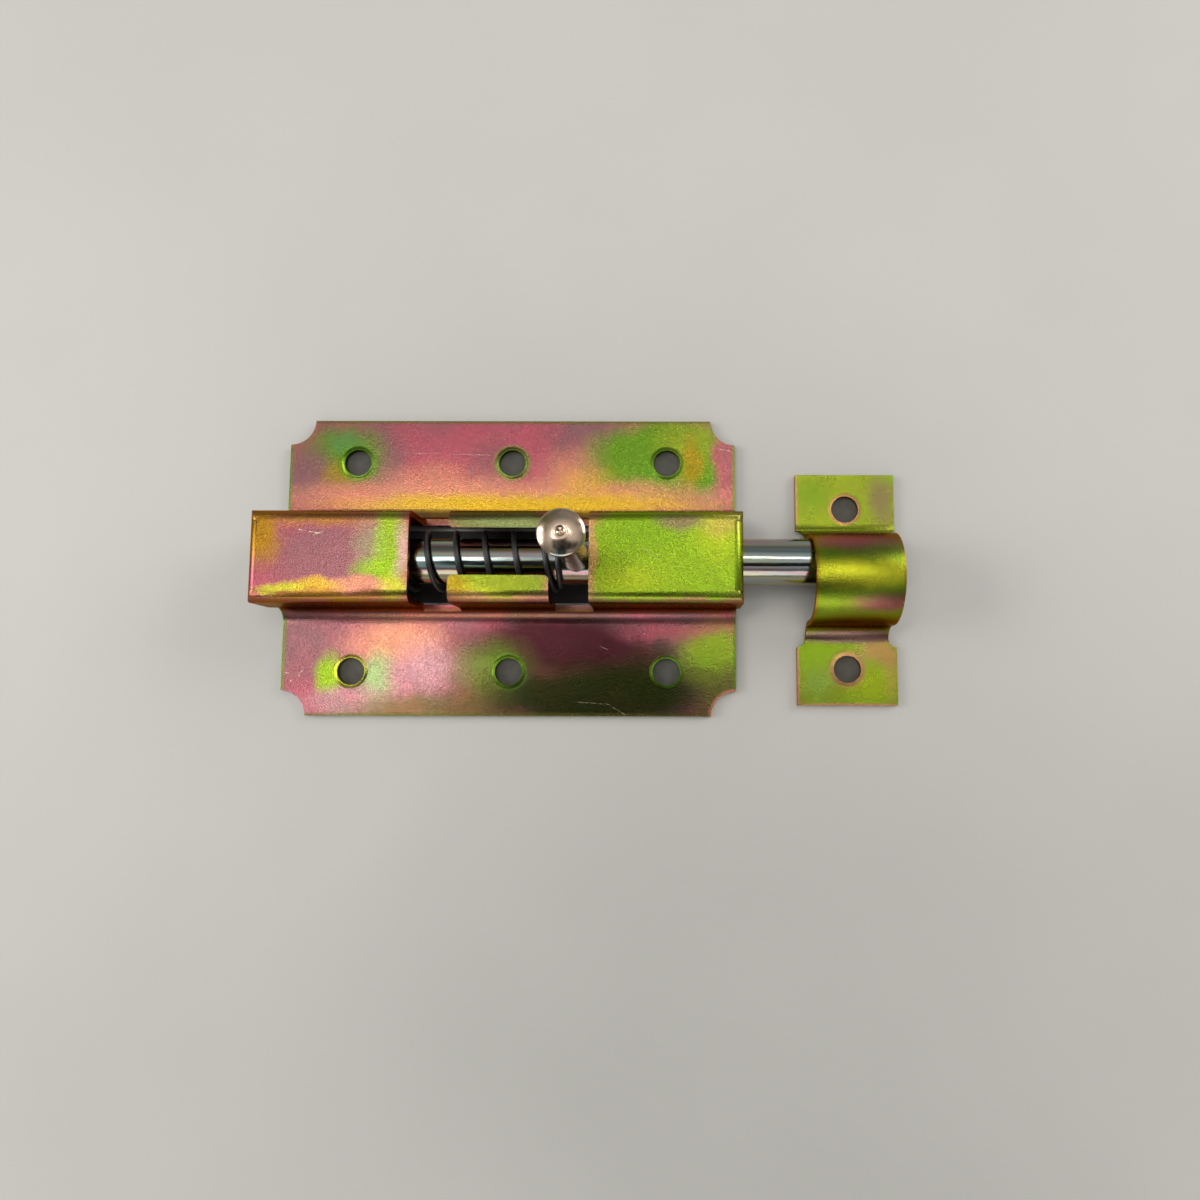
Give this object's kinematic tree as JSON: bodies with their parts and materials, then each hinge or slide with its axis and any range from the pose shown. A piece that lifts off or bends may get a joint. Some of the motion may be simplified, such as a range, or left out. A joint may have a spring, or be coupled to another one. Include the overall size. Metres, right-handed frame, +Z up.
{
  "type": "spring slide bolt",
  "caption": "Surface-mounted spring bolt: pressed plate and channel case, sprung round bolt with a turning side handle, and a hoop keeper; holds a door or hatch shut.",
  "frame": {"origin": "middle of the case's base plate, on its mounting face", "axes": "X along the bolt towards the keeper, Y across the plate away from the viewer, Z up off the mounting face"},
  "size_m": [0.1099, 0.053, 0.0318],
  "materials": {
    "yellow_zinc_case": "yellow passivated zinc, iridescent",
    "yellow_zinc_keeper": "yellow passivated zinc, iridescent",
    "bright_plated_rod": "bright plated, polished",
    "bright_plated_handle": "bright plated, satin",
    "black_wire": "black spring wire, semi-gloss"
  },
  "bodies": {
    "case": {"case": "yellow_zinc_case", "keeper": "yellow_zinc_keeper"},
    "spring": {"spring": "black_wire"},
    "bolt": {"bolt_rod": "bright_plated_rod", "handle_pin": "bright_plated_handle"}
  },
  "joints": [
    {"name": "handle_turn", "type": "hinge", "parent": "case", "child": "spring", "pos_m": [0, 0, 0.0058], "axis": [1, 0, 0], "range_deg": [-90, 90]},
    {"name": "bolt_draw", "type": "slide", "parent": "spring", "child": "bolt", "axis": [1, 0, 0], "range_m": [-0.0251, 0], "stiffness_N_per_m": 540, "springref_m": 0.01, "deforming": ["spring"]}
  ]
}
